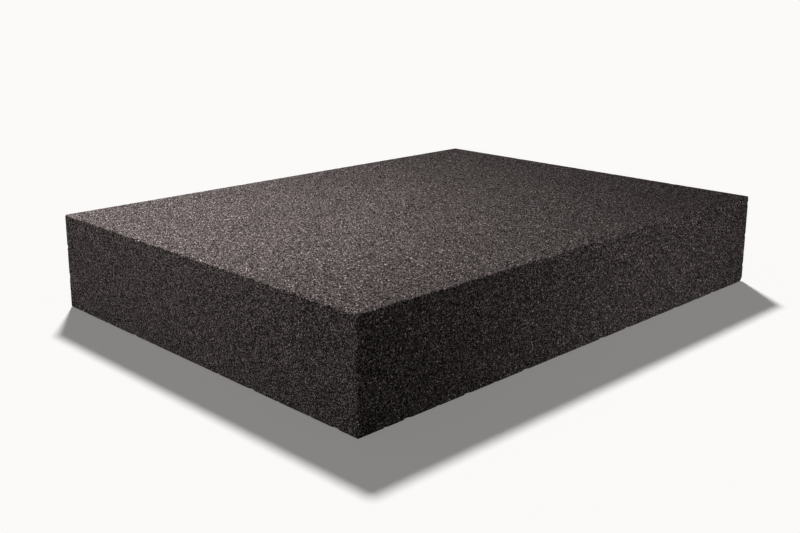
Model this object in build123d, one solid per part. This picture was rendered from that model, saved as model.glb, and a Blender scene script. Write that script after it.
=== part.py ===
from build123d import *
from math import sqrt
import os

# Foam glass board: one rigid slab of cellular glass, sawn to size on all six sides.
# It lies on its lower large face, with the origin at the middle of that face,
# X along the length, Y along the width and Z up through the thickness.

# Sawn size, in millimetres.
length = 600.0
width = 450.0
thickness = 100.0

# Brittle glass cannot hold a sharp edge: along every arris the outermost row of cells is gone.
arris_break = 0.8

# How far each corner has crumbled, measured in along its three edges.
# The lower corner at the right of the front is the worst one. The hidden corner is plain.
corner_break_usual = 2.0
corner_break_front_top = 3.0
corner_break_right_bottom = 5.5

# Nicks are shallow shell-shaped flakes that were knocked off an arris.
nick_length = 10.0
nick_depth = 1.1
small_nick_length = 5.0
small_nick_depth = 0.9

# Places of the nicks, as shares of the way along each arris, from its low end to its high end.
front_bottom_nicks = (0.09, 0.21, 0.34, 0.535, 0.61, 0.76, 0.89)
front_bottom_small_nicks = (0.05, 0.15, 0.27, 0.42, 0.69, 0.83, 0.95)
left_bottom_nicks = (0.06, 0.30, 0.72)
left_bottom_small_nicks = (0.13, 0.22, 0.41, 0.55, 0.64, 0.83, 0.94)
front_top_small_nicks = (0.07, 0.18, 0.31, 0.44, 0.56, 0.67, 0.81, 0.93)
left_top_small_nicks = (0.12, 0.26, 0.37, 0.52, 0.68, 0.79, 0.91)
back_top_small_nicks = (0.16, 0.38, 0.63, 0.87)
right_top_small_nicks = (0.22, 0.49, 0.74)
front_left_post_small_nicks = (0.22, 0.47, 0.71)
front_right_post_small_nicks = (0.20, 0.55, 0.92)
back_left_post_small_nicks = (0.33, 0.66)

# The six sawn planes, by the sides that name them.
left, right = -length / 2, length / 2
front, back = -width / 2, width / 2
bottom, top = 0.0, thickness


def sawn_block():
    """The rectangular block as it leaves the saw, with all twelve arrises broken alike."""
    block = Box(length, width, thickness, align=(Align.CENTER, Align.CENTER, Align.MIN))
    return chamfer(block.edges(), arris_break)


def crumbled_corner(x, y, z, reach):
    """The small pyramid that is missing where three arrises meet, as a solid to cut away."""
    inward = Vector(-x, -y, thickness / 2 - z)
    inward = Vector(*(1 if part > 0 else -1 for part in inward))
    tip = Vector(x, y, z)
    on_x = tip + Vector(inward.X * reach, 0, 0)
    on_y = tip + Vector(0, inward.Y * reach, 0)
    on_z = tip + Vector(0, 0, inward.Z * reach)
    middle = (on_x + on_y + on_z) * (1 / 3)
    outward = (tip - middle).normalized()
    slab = Plane(origin=middle, z_dir=outward)
    return slab * Box(4 * reach, 4 * reach, 2 * reach, align=(Align.CENTER, Align.CENTER, Align.MIN))


def flake(spot, outward, chord, depth):
    """The ball whose cap is one nick: chord long on the arris and depth deep across it."""
    ball_radius = (chord**2 / 4 + depth**2) / (2 * depth)
    centre = spot + outward * (ball_radius - depth)
    return Pos(*centre) * Sphere(ball_radius)


def nicks_along(start, end, outward, shares, chord, depth):
    """One flake at each share of the way from start to end of an arris."""
    start, end = Vector(*start), Vector(*end)
    outward = Vector(*outward).normalized()
    bevel_face = outward * (-arris_break / sqrt(2))
    return [flake(start + (end - start) * share + bevel_face, outward, chord, depth) for share in shares]


def corners():
    """All eight corners, each with its own reach."""
    missing = []
    for x in (left, right):
        for y in (front, back):
            for z in (bottom, top):
                reach = corner_break_usual
                if (x, y, z) == (left, front, top):
                    reach = corner_break_front_top
                if (x, y, z) == (right, front, bottom):
                    reach = corner_break_right_bottom
                missing.append(crumbled_corner(x, y, z, reach))
    return missing


def nicks():
    """The nicks of every arris that shows. The arrises behind and under the back are plain."""
    return [
        *nicks_along((left, front, bottom), (right, front, bottom), (0, -1, -1),
                     front_bottom_nicks, nick_length, nick_depth),
        *nicks_along((left, front, bottom), (right, front, bottom), (0, -1, -1),
                     front_bottom_small_nicks, small_nick_length, small_nick_depth),
        *nicks_along((left, front, bottom), (left, back, bottom), (-1, 0, -1),
                     left_bottom_nicks, nick_length, nick_depth),
        *nicks_along((left, front, bottom), (left, back, bottom), (-1, 0, -1),
                     left_bottom_small_nicks, small_nick_length, small_nick_depth),
        *nicks_along((left, front, top), (right, front, top), (0, -1, 1),
                     front_top_small_nicks, small_nick_length, small_nick_depth),
        *nicks_along((left, front, top), (left, back, top), (-1, 0, 1),
                     left_top_small_nicks, small_nick_length, small_nick_depth),
        *nicks_along((left, back, top), (right, back, top), (0, 1, 1),
                     back_top_small_nicks, small_nick_length, small_nick_depth),
        *nicks_along((right, front, top), (right, back, top), (1, 0, 1),
                     right_top_small_nicks, small_nick_length, small_nick_depth),
        *nicks_along((left, front, bottom), (left, front, top), (-1, -1, 0),
                     front_left_post_small_nicks, small_nick_length, small_nick_depth),
        *nicks_along((right, front, bottom), (right, front, top), (1, -1, 0),
                     front_right_post_small_nicks, small_nick_length, small_nick_depth),
        *nicks_along((left, back, bottom), (left, back, top), (-1, 1, 0),
                     back_left_post_small_nicks, small_nick_length, small_nick_depth),
    ]


def foam_glass_board():
    """The finished board: the sawn block less its crumbled corners and nicks."""
    return sawn_block() - corners() - nicks()


os.makedirs("parts", exist_ok=True)
board = foam_glass_board()
export_step(board, "parts/foam_glass_board.step")
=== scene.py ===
import math
import bpy
from mathutils import Matrix, Vector


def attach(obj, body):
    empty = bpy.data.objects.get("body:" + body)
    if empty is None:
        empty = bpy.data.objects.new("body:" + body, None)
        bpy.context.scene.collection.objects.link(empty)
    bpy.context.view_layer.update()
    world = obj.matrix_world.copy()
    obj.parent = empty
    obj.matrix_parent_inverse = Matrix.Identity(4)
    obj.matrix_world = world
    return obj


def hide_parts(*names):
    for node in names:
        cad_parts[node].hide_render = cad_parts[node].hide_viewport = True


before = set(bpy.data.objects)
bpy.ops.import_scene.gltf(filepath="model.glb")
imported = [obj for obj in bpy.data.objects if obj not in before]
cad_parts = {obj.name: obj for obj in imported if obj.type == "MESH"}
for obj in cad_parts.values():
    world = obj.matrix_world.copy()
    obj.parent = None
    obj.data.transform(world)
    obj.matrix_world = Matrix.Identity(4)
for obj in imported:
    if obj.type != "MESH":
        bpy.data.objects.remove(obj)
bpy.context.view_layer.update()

# Foam glass board. One rigid block of glass that was foamed with carbon and cooled slowly, so that it
# is all closed cells about a millimetre wide. It was sawn square when cold: the saw opened a layer of
# cells on every side, and broke the outermost row of them along the arrises.
wide_cell_width = 0.0031
wide_cell_spacing = 0.0145
middling_cell_width = 0.0021
middling_cell_spacing = 0.0100
arris_cell_width = 0.0024
arris_cell_spacing = 0.0034
crumb_width = 0.0048
crumb_spacing = 0.0060

# An opened cell reaches out by a share of its width between these two, and leans by up to this angle.
least_reach_share = 0.36
most_reach_share = 0.62
most_lean = 0.2

# Spots tried for each square metre. Those that come nearer to another than the spacing are dropped.
tries_on_face = 2e5
tries_on_arris = 9e6
cell_seed = 4
seed_step = 10.0

# A face whose normal is this close to an axis is sawn. The raw mesh's corners are merged at this width.
sawn_squareness = 0.999
merge_distance = 2e-6

# The finest cells are a pattern in the glass. Reaches run in from the wall, in cell widths.
cell_width = 0.00065
cell_depth = 0.0002
cell_cup_reach = 0.4
cell_wall_reach = 0.08
cell_wall_cover = 0.5
smooth_reach = 0.2
wall_roughness = 0.75
cup_roughness = 0.4

# Painted glints: bright spots painted into the colour where flakes of glass would catch the light. They
# lie at a small share of the spots of their pattern. The reach is in spot widths.
glint_spot_width = 0.0016
glint_spot_share = 0.022
glint_spot_reach = 0.45

# The shades of the cells, and the share of the cells that are darker than each of the middle three.
# Partly random tone, partly painted light: shadow in the darkest cups, light and glints on the brightest.
glass_in_painted_shadow = (0.0055, 0.0046, 0.0045, 1.0)
glass_dark = (0.0120, 0.0101, 0.0099, 1.0)
glass_middling = (0.160, 0.134, 0.131, 1.0)
glass_light = (0.288, 0.242, 0.236, 1.0)
painted_glint = (0.800, 0.676, 0.660, 1.0)
cell_wall_grey = (0.124, 0.104, 0.102, 1.0)
darker_than_dark = 0.62
darker_than_middling = 0.72
darker_than_light = 0.90


def add_node(tree, kind, feeds=None, **settings):
    """Adds a node with these settings. Each feed goes to the input of that name or number."""
    node = tree.nodes.new(kind)
    for name, value in settings.items():
        setattr(node, name, value)
    for where, feed in (feeds or {}).items():
        if isinstance(feed, bpy.types.NodeSocket):
            tree.links.new(feed, node.inputs[where])
        else:
            node.inputs[where].default_value = feed
    return node


def result_of(tree, operation, first, second):
    """The result of one operation on two numbers."""
    return add_node(tree, "ShaderNodeMath", {0: first, 1: second}, operation=operation).outputs[0]


def laid_over(tree, share, under, over):
    """One colour laid over another by a share from 0 to 1."""
    mix = add_node(tree, "ShaderNodeMix", {"Factor": share, "A": under, "B": over}, data_type="RGBA")
    return mix.outputs["Result"]


def from_wall(tree, distance, reach, on_wall, in_cup, **settings):
    """A value that runs from the wall of a cell into its cup, over this reach."""
    return add_node(tree, "ShaderNodeMapRange", {
        "Value": distance, "From Min": 0.0, "From Max": reach, "To Min": on_wall, "To Max": in_cup,
    }, **settings).outputs["Result"]


def cellular_glass():
    """The look of a sawn face: dark cups in paler walls, with painted shade and a painted glint here and
    there.
    """
    material = bpy.data.materials.new("cellular_glass")
    material.use_nodes = True
    tree = material.node_tree
    surface = tree.nodes["Principled BSDF"]
    place = add_node(tree, "ShaderNodeTexCoord").outputs["Object"]

    cells = add_node(tree, "ShaderNodeTexVoronoi", {"Vector": place, "Scale": 1 / cell_width})
    cell_chance = add_node(tree, "ShaderNodeSeparateColor", {"Color": cells.outputs["Color"]})
    # The ramp runs from painted shadow in deep cups to a painted glint, through the glass's own random
    # tone.
    shade = add_node(tree, "ShaderNodeValToRGB", {"Fac": cell_chance.outputs["Red"]})
    stops = shade.color_ramp.elements
    stops[0].position = 0.0
    stops[0].color = glass_in_painted_shadow
    stops[1].position = 1.0
    stops[1].color = painted_glint
    stops.new(darker_than_dark).color = glass_dark
    stops.new(darker_than_middling).color = glass_middling
    stops.new(darker_than_light).color = glass_light

    walls = add_node(tree, "ShaderNodeTexVoronoi", {"Vector": place, "Scale": 1 / cell_width},
                     feature="DISTANCE_TO_EDGE").outputs["Distance"]
    wall = from_wall(tree, walls, cell_wall_reach, cell_wall_cover, 0.0)
    cut_face = laid_over(tree, wall, shade.outputs["Color"], cell_wall_grey)

    # Spots of painted glint, laid over the cut face.
    glint_spots = add_node(tree, "ShaderNodeTexVoronoi", {"Vector": place, "Scale": 1 / glint_spot_width}).outputs
    glint_spot_chance = add_node(tree, "ShaderNodeSeparateColor", {"Color": glint_spots["Color"]})
    picked = result_of(tree, "GREATER_THAN", glint_spot_chance.outputs["Red"], 1 - glint_spot_share)
    within = result_of(tree, "LESS_THAN", glint_spots["Distance"], glint_spot_reach)
    painted_glint_mask = result_of(tree, "MULTIPLY", picked, within)
    tree.links.new(laid_over(tree, painted_glint_mask, cut_face, painted_glint), surface.inputs["Base Color"])

    roughness = from_wall(tree, walls, smooth_reach, wall_roughness, cup_roughness)
    tree.links.new(roughness, surface.inputs["Roughness"])
    surface.inputs["Specular IOR Level"].default_value = 0.0

    cup = from_wall(tree, walls, cell_cup_reach, 1.0, 0.0, interpolation_type="SMOOTHSTEP")
    relief = add_node(tree, "ShaderNodeBump", {"Strength": 1.0, "Distance": cell_depth, "Height": cup})
    tree.links.new(relief.outputs["Normal"], surface.inputs["Normal"])
    return material


def opened_cells_tree():
    """The nodes that cut opened cells out of a solid block, on its faces and along its arrises."""
    tree = bpy.data.node_groups.new("opened_cells", "GeometryNodeTree")
    face = tree.interface
    face.new_socket("Block", in_out="INPUT", socket_type="NodeSocketGeometry")
    for family in ("Wide", "Middling", "Arris", "Crumb"):
        face.new_socket(family + " Width", in_out="INPUT", socket_type="NodeSocketFloat")
        face.new_socket(family + " Spacing", in_out="INPUT", socket_type="NodeSocketFloat")
    face.new_socket("Seed", in_out="INPUT", socket_type="NodeSocketInt")
    face.new_socket("Material", in_out="INPUT", socket_type="NodeSocketMaterial")
    face.new_socket("Board", in_out="OUTPUT", socket_type="NodeSocketGeometry")
    sizes = add_node(tree, "NodeGroupInput").outputs

    block = add_node(tree, "GeometryNodeMergeByDistance", {
        "Geometry": sizes["Block"], "Distance": merge_distance}).outputs["Geometry"]
    normal = add_node(tree, "GeometryNodeInputNormal").outputs[0]
    facing = add_node(tree, "ShaderNodeVectorMath", {0: normal}, operation="ABSOLUTE").outputs[0]
    facing = add_node(tree, "ShaderNodeSeparateXYZ", {0: facing}).outputs
    squarest = result_of(tree, "MAXIMUM", facing["X"], facing["Y"])
    squarest = result_of(tree, "MAXIMUM", squarest, facing["Z"])
    on_face = add_node(tree, "FunctionNodeCompare", {"A": squarest, "B": sawn_squareness},
                       data_type="FLOAT", operation="GREATER_THAN").outputs[0]
    on_arris = add_node(tree, "FunctionNodeBooleanMath", {0: on_face}, operation="NOT").outputs[0]

    def cut(board, family, where, tries, sides, rings, flatness, lift, number):
        """Cuts one family of cells: cups of a few flat sides, no nearer to each other than the spacing."""
        width = sizes[family + " Width"]
        seed = result_of(tree, "ADD", sizes["Seed"], seed_step * number)
        spots = add_node(tree, "GeometryNodeDistributePointsOnFaces", {
            "Mesh": block, "Selection": where, "Distance Min": sizes[family + " Spacing"],
            "Density Max": tries, "Seed": seed}, distribute_method="POISSON").outputs
        least = result_of(tree, "MULTIPLY", width, least_reach_share)
        most = result_of(tree, "MULTIPLY", width, most_reach_share)
        reach = add_node(tree, "FunctionNodeRandomValue", {2: least, 3: most, "Seed": seed},
                         data_type="FLOAT").outputs[1]
        lean = add_node(tree, "FunctionNodeRandomValue", {
            0: (-most_lean, -most_lean, 0.0), 1: (most_lean, most_lean, math.tau),
            "Seed": seed}, data_type="FLOAT_VECTOR").outputs[0]
        turn = add_node(tree, "FunctionNodeRotateRotation", {0: spots["Rotation"], 1: lean},
                        rotation_space="LOCAL").outputs[0]
        rise = result_of(tree, "MULTIPLY", reach, lift * flatness)
        rise = add_node(tree, "ShaderNodeVectorMath", {0: spots["Normal"], "Scale": rise},
                        operation="SCALE").outputs[0]
        centres = add_node(tree, "GeometryNodeSetPosition", {
            "Geometry": spots["Points"], "Offset": rise}).outputs[0]
        cup = add_node(tree, "GeometryNodeMeshUVSphere", {"Segments": sides, "Rings": rings, "Radius": 1.0})
        cup = add_node(tree, "GeometryNodeTransform", {
            "Geometry": cup.outputs["Mesh"], "Scale": (1.0, 1.0, flatness)}).outputs[0]
        cups = add_node(tree, "GeometryNodeInstanceOnPoints", {
            "Points": centres, "Instance": cup, "Rotation": turn, "Scale": reach}).outputs[0]
        cups = add_node(tree, "GeometryNodeRealizeInstances", {"Geometry": cups}).outputs[0]
        return add_node(tree, "GeometryNodeMeshBoolean", {"Mesh 1": board, "Mesh 2": cups},
                        operation="DIFFERENCE", solver="MANIFOLD").outputs["Mesh"]

    board = cut(block, "Wide", on_face, tries_on_face,
                sides=6, rings=4, flatness=0.6, lift=0.3, number=0)
    board = cut(board, "Middling", on_face, tries_on_face,
                sides=5, rings=2, flatness=0.9, lift=0.25, number=1)
    board = cut(board, "Arris", on_arris, tries_on_arris,
                sides=5, rings=2, flatness=1.0, lift=0.2, number=2)
    board = cut(board, "Crumb", on_arris, tries_on_arris,
                sides=5, rings=3, flatness=0.8, lift=0.3, number=3)
    board = add_node(tree, "GeometryNodeSetShadeSmooth", {
        "Geometry": board, "Shade Smooth": False}).outputs[0]
    board = add_node(tree, "GeometryNodeRealizeInstances", {"Geometry": board}).outputs[0]
    board = add_node(tree, "GeometryNodeSetMaterial", {
        "Geometry": board, "Material": sizes["Material"]}).outputs[0]
    add_node(tree, "NodeGroupOutput", {"Board": board})
    return tree


def set_inputs(modifier, values):
    """Sets a node modifier's inputs, each found by its name and set by its identifier."""
    for item in modifier.node_group.interface.items_tree:
        if item.in_out == "INPUT" and item.name in values:
            modifier[item.identifier] = values[item.name]


def sawn_board(node):
    """The solid of this node with its opened cells cut, as a plain mesh object."""
    raw = bpy.data.objects.new("raw_block", node.data.copy())
    bpy.context.collection.objects.link(raw)
    cells = raw.modifiers.new("opened_cells", "NODES")
    cells.node_group = opened_cells_tree()
    set_inputs(cells, {
        "Wide Width": wide_cell_width, "Wide Spacing": wide_cell_spacing,
        "Middling Width": middling_cell_width, "Middling Spacing": middling_cell_spacing,
        "Arris Width": arris_cell_width, "Arris Spacing": arris_cell_spacing,
        "Crumb Width": crumb_width, "Crumb Spacing": crumb_spacing,
        "Seed": cell_seed, "Material": cellular_glass(),
    })
    mesh = bpy.data.meshes.new_from_object(raw.evaluated_get(bpy.context.evaluated_depsgraph_get()))
    bpy.data.objects.remove(raw)
    mesh.name = "sawn_board"
    piece = bpy.data.objects.new("sawn_board", mesh)
    bpy.context.collection.objects.link(piece)
    return piece


board = sawn_board(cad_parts["foam_glass_board"])
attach(board, "root")
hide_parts("foam_glass_board")

# Studio. A pale floor with a lamp of its own, which throws the board's shadow towards the camera, and
# soft lamps for the board alone: one over its left end, one beside that end, one low on the right and
# one low behind.
floor_reach = 40.0
floor_seen = (0.86, 0.85, 0.84, 1.0)
floor_unseen = (0.12, 0.12, 0.12, 1.0)
floor_glow = 0.21
pale = (0.962, 0.946, 0.930, 1.0)
sky_unseen = (0.04, 0.04, 0.04, 1.0)


def seen_outright(tree):
    """One for what the camera sees straight, in a reflection or through glass, and zero for other light."""
    path = add_node(tree, "ShaderNodeLightPath").outputs
    seen = result_of(tree, "MAXIMUM", path["Is Camera Ray"], path["Is Glossy Ray"])
    return result_of(tree, "MAXIMUM", seen, path["Is Transmission Ray"])


def pale_floor():
    """A wide plain floor, pale to the camera and dim to the board."""
    material = bpy.data.materials.new("pale_floor")
    material.use_nodes = True
    tree = material.node_tree
    seen = seen_outright(tree)
    surface = tree.nodes["Principled BSDF"]
    tree.links.new(laid_over(tree, seen, floor_unseen, floor_seen), surface.inputs["Base Color"])
    surface.inputs["Specular IOR Level"].default_value = 0.0
    surface.inputs["Roughness"].default_value = 1.0
    surface.inputs["Emission Color"].default_value = pale
    glow = result_of(tree, "MULTIPLY", seen, floor_glow)
    tree.links.new(glow, surface.inputs["Emission Strength"])
    half = floor_reach / 2
    corners = [(-half, -half, 0), (half, -half, 0), (half, half, 0), (-half, half, 0)]
    mesh = bpy.data.meshes.new("floor")
    mesh.from_pydata(corners, [], [(0, 1, 2, 3)])
    mesh.materials.append(material)
    floor = bpy.data.objects.new("floor", mesh)
    bpy.context.collection.objects.link(floor)
    return floor


floor = pale_floor()


def lamp(name, kind, power, size, stand, aim, lit):
    """A lamp that faces its aim and lights one thing only. A sun's size is an angle, a disk's a width."""
    light = bpy.data.lights.new(name, kind)
    light.energy = power
    if kind == "AREA":
        light.shape = "DISK"
        light.size = size
    else:
        light.angle = size
    holder = bpy.data.objects.new(name, light)
    holder.location = stand
    holder.rotation_euler = (Vector(stand) - Vector(aim)).to_track_quat("Z", "Y").to_euler()
    holder.visible_camera = False
    only = bpy.data.collections.new(name + "_lights")
    only.objects.link(lit)
    holder.light_linking.receiver_collection = only
    bpy.context.collection.objects.link(holder)


lamp("over_left_end", "AREA", power=5.9, size=0.25,
     stand=(-0.24, 0.09, 0.69), aim=(-0.39, 0.40, 0.10), lit=board)
lamp("beside_left_end", "AREA", power=3.5, size=0.30,
     stand=(-0.90, 0.05, 0.55), aim=(-0.30, 0.32, 0.05), lit=board)
lamp("low_right", "AREA", power=0.72, size=0.12,
     stand=(0.135, -0.600, 0.02), aim=(0.100, -0.225, 0.03), lit=board)
lamp("low_behind", "AREA", power=5.0, size=0.30,
     stand=(0.85, 0.85, 0.12), aim=(0.10, 0.10, 0.05), lit=board)
lamp("floor_lamp", "SUN", power=3.65, size=math.radians(6),
     stand=(0.56, 0.75, 1.0), aim=(0.0, 0.0, 0.0), lit=floor)

world = bpy.data.worlds.new("studio")
world.use_nodes = True
room = world.node_tree
sky = laid_over(room, seen_outright(room), sky_unseen, pale)
room.links.new(sky, room.nodes["Background"].inputs["Color"])
bpy.context.scene.world = world
bpy.context.scene.view_settings.view_transform = "Standard"

# Camera. It looks down the board's front left corner, with the small shift that the picture's nearly
# upright edges ask for.
azimuth = math.radians(-44.69)
elevation = math.radians(13.51)
roll = math.radians(0.19)
distance = 1.1445
lens = 46.975
shift_up = -0.058
aim = Vector((-0.0115, 0.0219, 0.0813))
back = Vector((math.sin(azimuth) * math.cos(elevation), -math.cos(azimuth) * math.cos(elevation),
               math.sin(elevation)))
camera_data = bpy.data.cameras.new("camera")
camera_data.lens = lens
camera_data.shift_y = shift_up
camera = bpy.data.objects.new("camera", camera_data)
turned = back.to_track_quat("Z", "Y").to_matrix().to_4x4() @ Matrix.Rotation(roll, 4, "Z")
camera.matrix_world = Matrix.Translation(aim + back * distance) @ turned
bpy.context.collection.objects.link(camera)
bpy.context.scene.camera = camera
